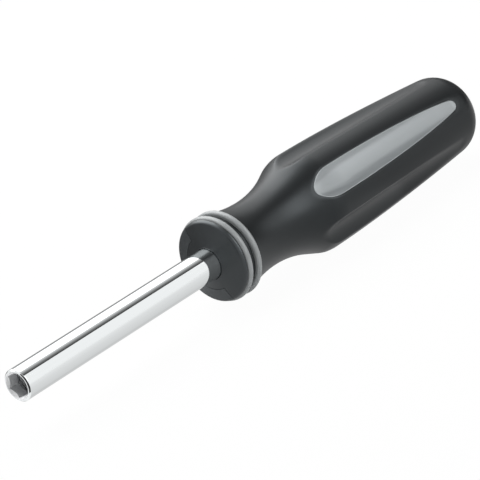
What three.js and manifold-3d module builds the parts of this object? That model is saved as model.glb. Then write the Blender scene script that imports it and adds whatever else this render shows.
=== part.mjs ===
// Bit holder screwdriver in millimetres, +Z up.
// The tool lies along X, with the mouth of its hexagon socket at the -X end and the butt at the +X end.
// It rests on two ridges of the handle at z = 0, and the origin is below the middle of the tool.
// Stations are distances along the tool from the socket's mouth.
// Angles round the tool are in degrees from +Z towards +Y.
import * as THREE from "three";
import { mergeVertices } from "three/addons/utils/BufferGeometryUtils.js";
import Module from "manifold-3d";

// Hexagon socket for quarter-inch bits
const HEX_ACROSS_FLATS = 6.4;
const HEX_CORNER_ANGLE = 48.7;
const SOCKET_DEPTH = 12;
const SOCKET_WALL = 0.9;
const COUNTERSINK_DIAMETER = 7.9;
const TIP_CHAMFER = 0.4;

// Bit magnet and retaining ring
const MAGNET_DIAMETER = 5.8;
const MAGNET_LENGTH = 5;
const MAGNET_CHAMFER = 0.3;
const MAGNET_FIT = 0.15;
const RING_STATION = 4;
const RING_WIRE = 0.6;
const RING_SPLIT_ANGLE = 40;
const RING_BITE_CLEARANCE = 0.1;
const RING_GROOVE_FIT = 0.15;

// Shank and its winged tail
const EXPOSED_SHANK = 76.4;
const WING_LENGTH = 12;
const WING_SPAN = 13;
const WING_THICKNESS = 3;
const TAIL_BEHIND_WINGS = 20;
const TAIL_CHAMFER = 0.8;
const SHANK_FIT = 0.2;

// Handle outline
const HANDLE_LENGTH = 115.6;
const NECK_FROM_NOSE = 20.6;
const NECK_DIAMETER = 20.5;
const NECK_FRONT_RADIUS = 48;
const NECK_REAR_RADIUS = 43;
const BELLY_DIAMETER = 30.84;
const BELLY_SHOULDER_RADIUS = 12;
const BACK_FULLNESS_FRONT = 0.24;
const BACK_FULLNESS_REAR = 0.43;
const BUTT_DIAMETER = 25.1;
const BUTT_TAPER_ANGLE = 4.2;
const BUTT_ROUNDING = 8.8;

// Walls of the handle
const NECK_WALL = 2.4;
const FLUTE_WALL = 1.9;
const BUTT_WALL = 4;
const CORE_END_CHAMFER = 4;
const MOULD_FIT = 0.2;

// Flutes and the grey inlays that fill two opposite ones
const FLUTE_COUNT = 6;
const FLUTE_RADIUS = 8.3;
const FLUTE_DEPTH = 2.25;
const FLUTE_REAR_DEPTH = 0.34;
const FLUTE_END_FROM_BUTT = 13.5;
const INLAY_ANGLES = { label_inlay_front: -60, label_inlay_back: 120 };
const INLAY_EDGE = 0.1;
const INLAY_FIT = 0.15;

// Nose: a soft conical cap round the shank, through which a crescent of the core shows
const NOSE_CAP_DIAMETER = 24.3;
const NOSE_CAP_LENGTH = 2.7;
const NOSE_CAP_WALL = 2;
const NOSE_CAP_ROUNDING = 1.05;
const NOSE_BORE_CHAMFER = 0.3;
const CRESCENT_DIAMETER = 15.8;
const CRESCENT_START = 36;
const CRESCENT_END = 203;

// Collar behind the cap: grey ring, black band, grey ring, on the seat of the core
const SEAT_DIAMETER = 17.4;
const COLLAR_RING_DIAMETER = 25.4;
const COLLAR_RING_WIDTH = 1.85;
const COLLAR_BAND_DIAMETER = 23;
const COLLAR_BAND_WIDTH = 1.75;
const COLLAR_GAP = 0.1;
const COLLAR_SEAT_OVERLAP = 2;

// Facets and the overrun of every cutting shape past what it cuts
const HANDLE_FACETS = 60;
const SHANK_FACETS = 40;
const RING_FACETS = 24;
const WIRE_FACETS = 8;
const FLUTE_FACETS = 48;
const ARC_STEPS = 6;
const BACK_STEPS = 9;
const INLAY_STEPS = 26;
const HALVINGS = 40;
const OVERRUN = 1;

// Sizes that follow from the ones above
const HEX_CORNER_RADIUS = HEX_ACROSS_FLATS / Math.sqrt(3);
const SHANK_RADIUS = HEX_CORNER_RADIUS + SOCKET_WALL;
const MAGNET_RADIUS = MAGNET_DIAMETER / 2;
const RING_RADIUS = HEX_ACROSS_FLATS / 2 + RING_BITE_CLEARANCE + RING_WIRE / 2;
const NECK_RADIUS = NECK_DIAMETER / 2;
const BELLY_RADIUS = BELLY_DIAMETER / 2;
const BUTT_RADIUS = BUTT_DIAMETER / 2;
const BUTT_TAPER = THREE.MathUtils.degToRad(BUTT_TAPER_ANGLE);
const SEAT_RADIUS = SEAT_DIAMETER / 2;
const CAP_RADIUS = NOSE_CAP_DIAMETER / 2;
const CRESCENT_RADIUS = CRESCENT_DIAMETER / 2;
const BORE_RADIUS = SHANK_RADIUS + SHANK_FIT;

// Stations that follow from the sizes
const OVERALL_LENGTH = EXPOSED_SHANK + HANDLE_LENGTH;
const NOSE = EXPOSED_SHANK;
const CORE_FRONT = NOSE + NOSE_CAP_WALL;
const CAP_BACK = NOSE + NOSE_CAP_LENGTH;
const RING_ONE_START = CAP_BACK + COLLAR_GAP;
const BAND_START = RING_ONE_START + COLLAR_RING_WIDTH + COLLAR_GAP;
const RING_TWO_START = BAND_START + COLLAR_BAND_WIDTH + COLLAR_GAP;
const GRIP_START = RING_TWO_START + COLLAR_RING_WIDTH + COLLAR_GAP;
const NECK = NOSE + NECK_FROM_NOSE;
const NECK_ARC_CENTRE = NECK_RADIUS + NECK_REAR_RADIUS;
const SHOULDER_ARC_CENTRE = BELLY_RADIUS - BELLY_SHOULDER_RADIUS;
const SHOULDER_REACH = NECK_REAR_RADIUS + BELLY_SHOULDER_RADIUS;
const SHOULDER_DROP = NECK_ARC_CENTRE - SHOULDER_ARC_CENTRE;
const SHOULDER_ANGLE = Math.asin(SHOULDER_DROP / SHOULDER_REACH);
const BELLY = NECK + SHOULDER_REACH * Math.cos(SHOULDER_ANGLE);
const BUTT_START = OVERALL_LENGTH - BUTT_ROUNDING * (1 - Math.sin(BUTT_TAPER));
const FLUTE_END = OVERALL_LENGTH - FLUTE_END_FROM_BUTT;
const CORE_END = OVERALL_LENGTH - BUTT_WALL;
const WINGS_END = BELLY + WING_LENGTH / 2;
const TAIL_END = WINGS_END + TAIL_BEHIND_WINGS;

// Colours and finishes
const CHROME = { color: 0xe4e6e8, roughness: 0.08, metalness: 1 };
const MAGNET_STEEL = { color: 0x8b8d90, roughness: 0.4, metalness: 1 };
const SPRING_STEEL = { color: 0x6c6e70, roughness: 0.35, metalness: 1 };
const BLACK_CORE = { color: 0x26282a, roughness: 0.5, metalness: 0 };
const BLACK_GRIP = { color: 0x2c2e30, roughness: 0.6, metalness: 0 };
const GREY_INLAY = { color: 0x868a8c, roughness: 0.5, metalness: 0 };

const wasm = await Module();
wasm.setup();

function solidFrom(geometry) {
  const bare = geometry.clone();
  bare.deleteAttribute("normal");
  bare.deleteAttribute("uv");
  const merged = mergeVertices(bare);
  return new wasm.Manifold(
    new wasm.Mesh({
      numProp: 3,
      vertProperties: merged.attributes.position.array,
      triVerts: new Uint32Array(merged.index.array),
    }),
  );
}

function meshFrom(name, solid, finish) {
  const { numProp, vertProperties, triVerts } = solid.getMesh();
  const geometry = new THREE.BufferGeometry();
  geometry.setAttribute("position", new THREE.BufferAttribute(vertProperties, numProp));
  geometry.setIndex(new THREE.BufferAttribute(triVerts, 1));
  geometry.computeVertexNormals();
  const mesh = new THREE.Mesh(geometry, new THREE.MeshStandardMaterial(finish));
  mesh.name = name;
  return mesh;
}

// Shapes turned about the tool's axis from [station, radius] points, counter-clockwise round the section.
function turnedGeometry(points, facets) {
  const profile = points.map(([station, radius]) => new THREE.Vector2(radius, station));
  return new THREE.LatheGeometry(profile, facets).rotateZ(-Math.PI / 2);
}

function turned(points, facets) {
  return solidFrom(turnedGeometry(points, facets));
}

function plug(start, end, radius, facets) {
  return turned([[start, 0], [start, radius], [end, radius], [end, 0]], facets);
}

// Points of an arc in the plane of station and radius, angles in radians from the station axis.
function arc(station, radius, size, from, to) {
  const curve = new THREE.EllipseCurve(station, radius, size, size, from, to, to < from);
  return curve.getPoints(ARC_STEPS).map((point) => [point.x, point.y]);
}

function roundTool(geometry, angle) {
  return geometry.rotateX(-THREE.MathUtils.degToRad(angle));
}

// Ridge line of the handle, from the collar over the neck and belly to the flat of the butt.
function ridgeLine() {
  const frontAngle = Math.asin((NECK - GRIP_START) / NECK_FRONT_RADIUS);
  const down = -Math.PI / 2;
  const neckFront = arc(NECK, NECK_RADIUS + NECK_FRONT_RADIUS, NECK_FRONT_RADIUS, down - frontAngle, down);
  const neckRear = arc(NECK, NECK_ARC_CENTRE, NECK_REAR_RADIUS, down, -SHOULDER_ANGLE);
  const shoulder = arc(
    BELLY,
    SHOULDER_ARC_CENTRE,
    BELLY_SHOULDER_RADIUS,
    Math.PI - SHOULDER_ANGLE,
    Math.PI / 2,
  );
  const run = BUTT_START - BELLY;
  const back = new THREE.CubicBezierCurve(
    new THREE.Vector2(BELLY, BELLY_RADIUS),
    new THREE.Vector2(BELLY + run * BACK_FULLNESS_FRONT, BELLY_RADIUS),
    new THREE.Vector2(
      BUTT_START - run * BACK_FULLNESS_REAR,
      BUTT_RADIUS + run * BACK_FULLNESS_REAR * Math.tan(BUTT_TAPER),
    ),
    new THREE.Vector2(BUTT_START, BUTT_RADIUS),
  );
  const backPoints = back.getPoints(BACK_STEPS).map((point) => [point.x, point.y]);
  const butt = arc(
    BUTT_START - BUTT_ROUNDING * Math.sin(BUTT_TAPER),
    BUTT_RADIUS - BUTT_ROUNDING * Math.cos(BUTT_TAPER),
    BUTT_ROUNDING,
    Math.PI / 2 - BUTT_TAPER,
    0,
  );
  return [
    ...neckFront,
    ...neckRear.slice(1),
    ...shoulder.slice(1),
    ...backPoints.slice(1),
    ...butt.slice(1),
  ];
}

const RIDGE = ridgeLine();

function ridgeRadius(station) {
  const next = RIDGE.findIndex(([at]) => at >= station);
  const [endStation, endRadius] = RIDGE[next];
  const [startStation, startRadius] = RIDGE[next - 1];
  const share = (station - startStation) / (endStation - startStation);
  return startRadius + share * (endRadius - startRadius);
}

// Floor of a flute: a straight line at a given depth under the belly and at the start of its ball end.
const FLOOR_AT_BELLY = BELLY_RADIUS - FLUTE_DEPTH;
const FLOOR_AT_END = ridgeRadius(FLUTE_END) - FLUTE_REAR_DEPTH;
const FLOOR_SLOPE = (FLOOR_AT_END - FLOOR_AT_BELLY) / (FLUTE_END - BELLY);

function floorRadius(station) {
  return FLOOR_AT_BELLY + FLOOR_SLOPE * (station - BELLY);
}

// Half the width of a flute where its round cut meets the ridge line.
function fluteHalfWidth(station) {
  const ridge = ridgeRadius(station);
  const cut = floorRadius(station) + FLUTE_RADIUS;
  const past = Math.min(Math.max(station - FLUTE_END, 0), FLUTE_RADIUS);
  const cosine = (ridge ** 2 + cut ** 2 - FLUTE_RADIUS ** 2 + past ** 2) / (2 * ridge * cut);
  return cosine < 1 ? ridge * Math.sqrt(1 - cosine ** 2) : 0;
}

// Station between a narrow and a wide place of the flute where its half width is the given edge.
function stationOfEdge(narrow, wide, edge) {
  let [outside, inside] = [narrow, wide];
  for (let i = 0; i < HALVINGS; i += 1) {
    const middle = (outside + inside) / 2;
    if (fluteHalfWidth(middle) > edge) inside = middle;
    else outside = middle;
  }
  return inside;
}

// Round cutter of a flute, with a ball end at the rear.
function fluteCutter(angle) {
  const ball = arc(0, 0, FLUTE_RADIUS, Math.PI / 2, 0);
  const geometry = turnedGeometry([[NECK - FLUTE_END, 0], [NECK - FLUTE_END, FLUTE_RADIUS], ...ball], FLUTE_FACETS);
  geometry.rotateY(-Math.atan(FLOOR_SLOPE));
  geometry.translate(FLUTE_END, 0, FLOOR_AT_END + FLUTE_RADIUS);
  return solidFrom(roundTool(geometry, angle));
}

// Prism over a flute, with the flute's own outline drawn in by an edge.
function fluteOutlinePrism(angle, edge) {
  const start = stationOfEdge(NECK, BELLY, edge);
  const end = stationOfEdge(FLUTE_END + FLUTE_RADIUS, BELLY, edge);
  const upper = [];
  const lower = [];
  for (let i = 0; i <= INLAY_STEPS; i += 1) {
    const station = start + ((end - start) * (1 - Math.cos((Math.PI * i) / INLAY_STEPS))) / 2;
    const width = Math.max(fluteHalfWidth(station) - edge, 0);
    upper.push(new THREE.Vector2(station, width));
    if (i > 0 && i < INLAY_STEPS) lower.unshift(new THREE.Vector2(station, -width));
  }
  const geometry = new THREE.ExtrudeGeometry(new THREE.Shape([...upper, ...lower]), {
    depth: FLOOR_AT_BELLY + FLUTE_RADIUS,
    bevelEnabled: false,
  });
  return solidFrom(roundTool(geometry, angle));
}

// Outside of the hard core from its seat to its rear end, grown all round by a fit.
function coreLine(grow) {
  const rearRadius = FLOOR_AT_END - FLUTE_WALL;
  return [
    [CORE_FRONT, SEAT_RADIUS + grow],
    [GRIP_START + COLLAR_SEAT_OVERLAP, SEAT_RADIUS + grow],
    [NECK, NECK_RADIUS - NECK_WALL + grow],
    [BELLY, FLOOR_AT_BELLY - FLUTE_WALL + grow],
    [CORE_END - CORE_END_CHAMFER, rearRadius + grow],
    [CORE_END + grow, rearRadius - CORE_END_CHAMFER + grow],
    [CORE_END + grow, 0],
  ];
}

function wings(fit) {
  const geometry = new THREE.BoxGeometry(
    WING_LENGTH + 2 * fit,
    WING_SPAN + 2 * fit,
    WING_THICKNESS + 2 * fit,
  );
  return solidFrom(geometry.translate(BELLY, 0, 0));
}

function bitHolderShank() {
  const bar = turned(
    [
      [0, 0],
      [0, SHANK_RADIUS - TIP_CHAMFER],
      [TIP_CHAMFER, SHANK_RADIUS],
      [TAIL_END - TAIL_CHAMFER, SHANK_RADIUS],
      [TAIL_END, SHANK_RADIUS - TAIL_CHAMFER],
      [TAIL_END, 0],
    ],
    SHANK_FACETS,
  );
  const hexagon = new THREE.CylinderGeometry(
    HEX_CORNER_RADIUS,
    HEX_CORNER_RADIUS,
    SOCKET_DEPTH + OVERRUN,
    6,
  );
  hexagon.rotateZ(-Math.PI / 2);
  hexagon.translate((SOCKET_DEPTH - OVERRUN) / 2, 0, 0);
  const sink = COUNTERSINK_DIAMETER / 2;
  const countersink = turned([[-OVERRUN, 0], [-OVERRUN, sink + OVERRUN], [sink, 0]], SHANK_FACETS);
  const grooveHalf = RING_WIRE / 2 + RING_GROOVE_FIT;
  const grooveRadius = RING_RADIUS + grooveHalf;
  const groove = plug(RING_STATION - grooveHalf, RING_STATION + grooveHalf, grooveRadius, SHANK_FACETS);
  const pocketEnd = SOCKET_DEPTH + MAGNET_LENGTH + MAGNET_FIT;
  const pocket = plug(SOCKET_DEPTH - OVERRUN, pocketEnd, MAGNET_RADIUS + MAGNET_FIT, SHANK_FACETS);
  return bar
    .add(wings(0))
    .subtract(solidFrom(roundTool(hexagon, HEX_CORNER_ANGLE)))
    .subtract(countersink)
    .subtract(groove)
    .subtract(pocket);
}

function bitMagnet() {
  const end = SOCKET_DEPTH + MAGNET_LENGTH;
  return turned(
    [
      [SOCKET_DEPTH, 0],
      [SOCKET_DEPTH, MAGNET_RADIUS - MAGNET_CHAMFER],
      [SOCKET_DEPTH + MAGNET_CHAMFER, MAGNET_RADIUS],
      [end - MAGNET_CHAMFER, MAGNET_RADIUS],
      [end, MAGNET_RADIUS - MAGNET_CHAMFER],
      [end, 0],
    ],
    SHANK_FACETS,
  );
}

// Sector of a disc across the tool, between two angles and two stations.
function sector(fromAngle, toAngle, radius, start, end) {
  const from = THREE.MathUtils.degToRad(fromAngle);
  const to = THREE.MathUtils.degToRad(toAngle);
  const shape = new THREE.Shape();
  shape.moveTo(0, 0);
  shape.absarc(0, 0, radius, from, to, false);
  const geometry = new THREE.ExtrudeGeometry(shape, { depth: end - start, bevelEnabled: false });
  geometry.rotateY(-Math.PI / 2);
  return solidFrom(geometry.translate(end, 0, 0));
}

function bitRetainingRing() {
  const section = [];
  for (let i = 0; i <= WIRE_FACETS; i += 1) {
    const angle = (-2 * Math.PI * i) / WIRE_FACETS;
    section.push([
      RING_STATION + (RING_WIRE / 2) * Math.cos(angle),
      RING_RADIUS + (RING_WIRE / 2) * Math.sin(angle),
    ]);
  }
  const half = RING_SPLIT_ANGLE / 2;
  const split = sector(-half, half, SHANK_RADIUS, RING_STATION - RING_WIRE, RING_STATION + RING_WIRE);
  return turned(section, RING_FACETS).subtract(split);
}

// Front line of the nose from the shank outwards: a cone that runs into the cap's rounded edge.
function noseLine() {
  const edgeCentre = CAP_RADIUS - NOSE_CAP_ROUNDING;
  const reach = Math.hypot(NOSE_CAP_LENGTH, edgeCentre - BORE_RADIUS);
  const cone = Math.atan2(NOSE_CAP_LENGTH, edgeCentre - BORE_RADIUS) - Math.asin(NOSE_CAP_ROUNDING / reach);
  return [[NOSE, BORE_RADIUS], ...arc(CAP_BACK, edgeCentre, NOSE_CAP_ROUNDING, Math.PI - cone, Math.PI / 2)];
}

// Part of the nose outside a radius, all round.
function noseRing(inner) {
  const whole = turned([[NOSE, 0], ...noseLine(), [CAP_BACK, 0]], HANDLE_FACETS);
  return whole.subtract(plug(NOSE - OVERRUN, CAP_BACK + OVERRUN, inner, HANDLE_FACETS));
}

function handleCore() {
  const bore = plug(CORE_FRONT - OVERRUN, TAIL_END + SHANK_FIT, BORE_RADIUS, SHANK_FACETS);
  const fit = THREE.MathUtils.radToDeg(MOULD_FIT / CRESCENT_RADIUS);
  const crescent = noseRing(CRESCENT_RADIUS + MOULD_FIT).intersect(
    sector(CRESCENT_START + fit, CRESCENT_END - fit, 2 * CAP_RADIUS, NOSE, CAP_BACK),
  );
  return turned([[CORE_FRONT, 0], ...coreLine(0)], HANDLE_FACETS)
    .add(crescent)
    .subtract(bore)
    .subtract(wings(SHANK_FIT));
}

function softGrip() {
  const cavity = coreLine(MOULD_FIT).slice(1).reverse();
  const skin = [...cavity, [GRIP_START, SEAT_RADIUS + MOULD_FIT], ...RIDGE, [OVERALL_LENGTH, 0]];
  let grip = turned(skin, HANDLE_FACETS);
  for (let i = 0; i < FLUTE_COUNT; i += 1) {
    grip = grip.subtract(fluteCutter((360 / FLUTE_COUNT) * i));
  }
  for (const angle of Object.values(INLAY_ANGLES)) {
    grip = grip.subtract(fluteOutlinePrism(angle, INLAY_EDGE));
  }
  return grip;
}

function labelInlay(angle) {
  const core = turned([[CORE_FRONT, 0], ...coreLine(MOULD_FIT)], HANDLE_FACETS);
  return fluteOutlinePrism(angle, INLAY_EDGE + INLAY_FIT).subtract(fluteCutter(angle)).subtract(core);
}

function noseCap() {
  const mouth = BORE_RADIUS + NOSE_BORE_CHAMFER;
  const boreChamfer = turned(
    [[NOSE - OVERRUN, 0], [NOSE - OVERRUN, mouth + OVERRUN], [NOSE + mouth, 0]],
    SHANK_FACETS,
  );
  const seat = plug(CORE_FRONT - MOULD_FIT, CAP_BACK + OVERRUN, SEAT_RADIUS + MOULD_FIT, HANDLE_FACETS);
  const opening = sector(CRESCENT_START, CRESCENT_END, 2 * CAP_RADIUS, NOSE - OVERRUN, CAP_BACK + OVERRUN);
  return noseRing(BORE_RADIUS)
    .subtract(boreChamfer)
    .subtract(seat)
    .subtract(opening.subtract(plug(NOSE - 2 * OVERRUN, CAP_BACK + 2 * OVERRUN, CRESCENT_RADIUS, HANDLE_FACETS)));
}

function collarRing(start) {
  const inner = SEAT_RADIUS + MOULD_FIT;
  const half = COLLAR_RING_WIDTH / 2;
  const end = start + COLLAR_RING_WIDTH;
  const crown = arc(start + half, COLLAR_RING_DIAMETER / 2 - half, half, Math.PI, 0);
  return turned([[start, inner], ...crown, [end, inner], [start, inner]], HANDLE_FACETS);
}

function collarBand() {
  const inner = SEAT_RADIUS + MOULD_FIT;
  const outer = COLLAR_BAND_DIAMETER / 2;
  const end = BAND_START + COLLAR_BAND_WIDTH;
  return turned(
    [[BAND_START, inner], [BAND_START, outer], [end, outer], [end, inner], [BAND_START, inner]],
    HANDLE_FACETS,
  );
}

const tool = new THREE.Group();
tool.add(
  meshFrom("bit_holder_shank", bitHolderShank(), CHROME),
  meshFrom("bit_magnet", bitMagnet(), MAGNET_STEEL),
  meshFrom("bit_retaining_ring", bitRetainingRing(), SPRING_STEEL),
  meshFrom("handle_core", handleCore(), BLACK_CORE),
  meshFrom("soft_grip", softGrip(), BLACK_GRIP),
  meshFrom("nose_cap", noseCap(), BLACK_GRIP),
  meshFrom("collar_ring_front", collarRing(RING_ONE_START), GREY_INLAY),
  meshFrom("collar_band", collarBand(), BLACK_GRIP),
  meshFrom("collar_ring_rear", collarRing(RING_TWO_START), GREY_INLAY),
);
for (const [name, angle] of Object.entries(INLAY_ANGLES)) {
  tool.add(meshFrom(name, labelInlay(angle), GREY_INLAY));
}

// The middle of the tool goes to x = 0 and its lowest ridges to z = 0.
const lowest = new THREE.Box3().setFromObject(tool).min.z;
tool.position.set(-OVERALL_LENGTH / 2, 0, -lowest);

const screwdriver = new THREE.Group();
screwdriver.add(tool);

export default screwdriver;
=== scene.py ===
import math

import bmesh
import bpy
import numpy as np
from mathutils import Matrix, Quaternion, Vector


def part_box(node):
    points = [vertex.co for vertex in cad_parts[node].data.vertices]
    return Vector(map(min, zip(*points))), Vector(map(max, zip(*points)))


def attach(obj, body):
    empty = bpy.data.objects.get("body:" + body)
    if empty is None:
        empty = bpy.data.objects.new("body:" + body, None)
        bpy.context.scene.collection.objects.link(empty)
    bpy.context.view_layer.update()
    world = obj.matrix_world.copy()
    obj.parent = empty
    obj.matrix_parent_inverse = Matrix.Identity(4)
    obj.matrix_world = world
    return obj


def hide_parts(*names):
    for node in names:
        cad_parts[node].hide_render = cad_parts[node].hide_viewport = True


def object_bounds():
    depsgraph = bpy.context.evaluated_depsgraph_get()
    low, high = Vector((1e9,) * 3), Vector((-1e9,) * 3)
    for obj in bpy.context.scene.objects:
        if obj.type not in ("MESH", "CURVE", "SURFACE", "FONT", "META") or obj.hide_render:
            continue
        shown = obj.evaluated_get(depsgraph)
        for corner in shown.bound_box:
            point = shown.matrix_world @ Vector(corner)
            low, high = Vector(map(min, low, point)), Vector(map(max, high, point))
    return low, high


# Bit holder screwdriver: chromed shank with a hexagon socket, in a fluted black and grey handle.
# Metres, +Z up. The tool lies along X with the socket's mouth at -X and the butt at +X.
# Angles round the tool are in radians from +Z towards +Y.

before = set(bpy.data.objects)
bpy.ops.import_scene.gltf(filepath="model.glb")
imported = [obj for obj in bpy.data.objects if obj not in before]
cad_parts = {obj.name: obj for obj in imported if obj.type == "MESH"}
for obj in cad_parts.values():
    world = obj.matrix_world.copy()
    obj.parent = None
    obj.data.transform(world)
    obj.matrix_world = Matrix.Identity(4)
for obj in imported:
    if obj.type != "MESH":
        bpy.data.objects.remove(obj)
CAD_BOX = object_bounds()

MM = 0.001

# Places and sizes taken from the frame
SHANK_LOW, SHANK_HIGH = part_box("bit_holder_shank")
CORE_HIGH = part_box("handle_core")[1]
GRIP_LOW, GRIP_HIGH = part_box("soft_grip")
CAP_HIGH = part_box("nose_cap")[1]
BAND_LOW, BAND_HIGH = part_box("collar_band")
RING_LOW, RING_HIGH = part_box("bit_retaining_ring")
MAGNET_LOW, MAGNET_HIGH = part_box("bit_magnet")
AXIS_HEIGHT = (SHANK_LOW.z + SHANK_HIGH.z) / 2
MOUTH = SHANK_LOW.x
TAIL_END = SHANK_HIGH.x
CAP_BACK = CAP_HIGH.x
CAP_RADIUS = CAP_HIGH.z - AXIS_HEIGHT
CORE_END = CORE_HIGH.x
GRIP_START = GRIP_LOW.x
GRIP_END = GRIP_HIGH.x
SHANK_RADIUS = SHANK_HIGH.z - AXIS_HEIGHT
WING_REACH = SHANK_HIGH.y
BELLY_RADIUS = GRIP_HIGH.y

# Hexagon socket, magnet pocket and the shank's ends
HEX_ACROSS_FLATS = 6.4 * MM
HEX_CORNER_ANGLE = math.radians(48.7)
COUNTERSINK_RADIUS = 3.95 * MM
COUNTERSINK_LIP = 0.2 * MM
TIP_CHAMFER = 0.4 * MM
TIP_ROUNDING = 0.16 * MM
MOUTH_ROUNDING = TIP_ROUNDING / 3
TAIL_CHAMFER = 0.8 * MM
POCKET_FIT = 0.15 * MM
POCKET_MARGIN = 1 * MM
WING_LENGTH = 12 * MM
WING_THICKNESS = 3 * MM
SHANK_FIT = 0.2 * MM

# Nose cap and the crescent of the core that shows through it
NOSE = CAP_BACK - 2.7 * MM
CORE_FRONT = NOSE + 2 * MM
CAP_ROUNDING = 1.05 * MM
CAP_BACK_ROUNDING = 0.28 * MM
BORE_RADIUS = SHANK_RADIUS + 0.06 * MM
BORE_ROUNDING = 0.25 * MM
CRESCENT_RADIUS = 7.9 * MM
CRESCENT_START = math.radians(36)
CRESCENT_END = math.radians(203)
CRESCENT_GAP = 0.12 * MM
BAND_ROUNDING = 0.25 * MM

# Outline of the handle
NECK = NOSE + 20.6 * MM
NECK_RADIUS = 10.25 * MM
NECK_FRONT_RADIUS = 48 * MM
NECK_REAR_RADIUS = 43 * MM
SHOULDER_RADIUS = 12 * MM
BACK_FULLNESS_FRONT = 0.24
BACK_FULLNESS_REAR = 0.43
BUTT_RADIUS = 12.55 * MM
BUTT_TAPER = math.radians(4.2)
BUTT_ROUNDING = 8.8 * MM
GRIP_LIP_ROUNDING = 0.3 * MM

# Core under the grip
CORE_SEAT_RADIUS = 8.7 * MM
CORE_SEAT_OVERLAP = 2 * MM
NECK_WALL = 2.4 * MM
FLUTE_WALL = 1.9 * MM
CORE_END_CHAMFER = 4 * MM
MOULD_FIT = 0.2 * MM

# Flutes and the grey inlays that fill two opposite ones
FLUTE_COUNT = 6
SECTOR = 2 * math.pi / FLUTE_COUNT
FLUTE_RADIUS = 8.3 * MM
FLUTE_DEPTH = 2.25 * MM
FLUTE_REAR_DEPTH = 0.34 * MM
FLUTE_END = GRIP_END - 13.5 * MM
FLUTE_EDGE_BLEND = 0.6 * MM
INLAY_ANGLES = {"label_inlay_front": math.radians(-60), "label_inlay_back": math.radians(120)}
WINDOW_EDGE = 0.02 * MM
INLAY_EDGE = 0.07 * MM
INLAY_ROUNDING = 0.3 * MM
INLAY_CURVE = 13.5 * MM
INLAY_CURVE_RUN = 14 * MM

# Fineness of the meshes
ROUND_COLUMNS = 160
HEX_FLAT_COLUMNS = 24
CRESCENT_COLUMNS = 80
CAP_COLUMNS = 110
FILLET_STEPS = 6
NECK_FRONT_STEPS = 20
NECK_REAR_STEPS = 48
SHOULDER_STEPS = 26
BACK_STEPS = 90
BUTT_STEPS = 26
CROWN_STEPS = 24
FLUTE_STATIONS = 4001
INLAY_ROWS = 120
INLAY_COLUMNS = 41
MERGE_DISTANCE = 1e-7
LEAST_EDGE = 1e-8
LEAST_TURN = 1e-3
LEAST_SINE = 1e-6
WIDEST_WING_ANGLE = 1.5

# Angles in degrees above which an edge is shaded sharp
PLAIN_SHARP_ANGLE = 35
SHANK_SHARP_ANGLE = 30
GRIP_SHARP_ANGLE = 40
INLAY_SHARP_ANGLE = 50

# Places along the handle that follow from its sizes
SHOULDER_DROP = NECK_RADIUS + NECK_REAR_RADIUS - BELLY_RADIUS + SHOULDER_RADIUS
SHOULDER_ANGLE = math.asin(SHOULDER_DROP / (NECK_REAR_RADIUS + SHOULDER_RADIUS))
BELLY = NECK + (NECK_REAR_RADIUS + SHOULDER_RADIUS) * math.cos(SHOULDER_ANGLE)
BUTT_START = GRIP_END - BUTT_ROUNDING * (1 - math.sin(BUTT_TAPER))


# Lines in the plane of the axis: points of (place along the axis, radius)
def arc(x, radius, size, start, end, steps):
    """Points of a round stretch, angles from the axis."""
    turn = np.linspace(start, end, steps + 1)
    return np.column_stack([x + size * np.cos(turn), radius + size * np.sin(turn)])


def rounded_line(corners):
    """Line through corners of (x, radius, rounding), each inner corner turned on an arc."""
    points = [corners[0][:2]]
    for before, here, after in zip(corners, corners[1:], corners[2:]):
        corner = np.array(here[:2])
        back = np.array(before[:2]) - corner
        ahead = np.array(after[:2]) - corner
        back /= np.linalg.norm(back)
        ahead /= np.linalg.norm(ahead)
        half = math.acos(np.clip(back @ ahead, -1, 1)) / 2
        if here[2] == 0 or math.pi / 2 - half < LEAST_TURN:
            points.append(corner)
            continue
        bisector = (back + ahead) / np.linalg.norm(back + ahead)
        centre = corner + bisector * here[2] / math.sin(half)
        start = corner + back * here[2] / math.tan(half) - centre
        end = corner + ahead * here[2] / math.tan(half) - centre
        sweep = math.pi - 2 * half
        for share in np.linspace(0, 1, FILLET_STEPS + 1):
            weights = np.array([math.sin((1 - share) * sweep), math.sin(share * sweep)]) / math.sin(sweep)
            points.append(centre + weights[0] * start + weights[1] * end)
    points.append(corners[-1][:2])
    return np.array(points)


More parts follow.
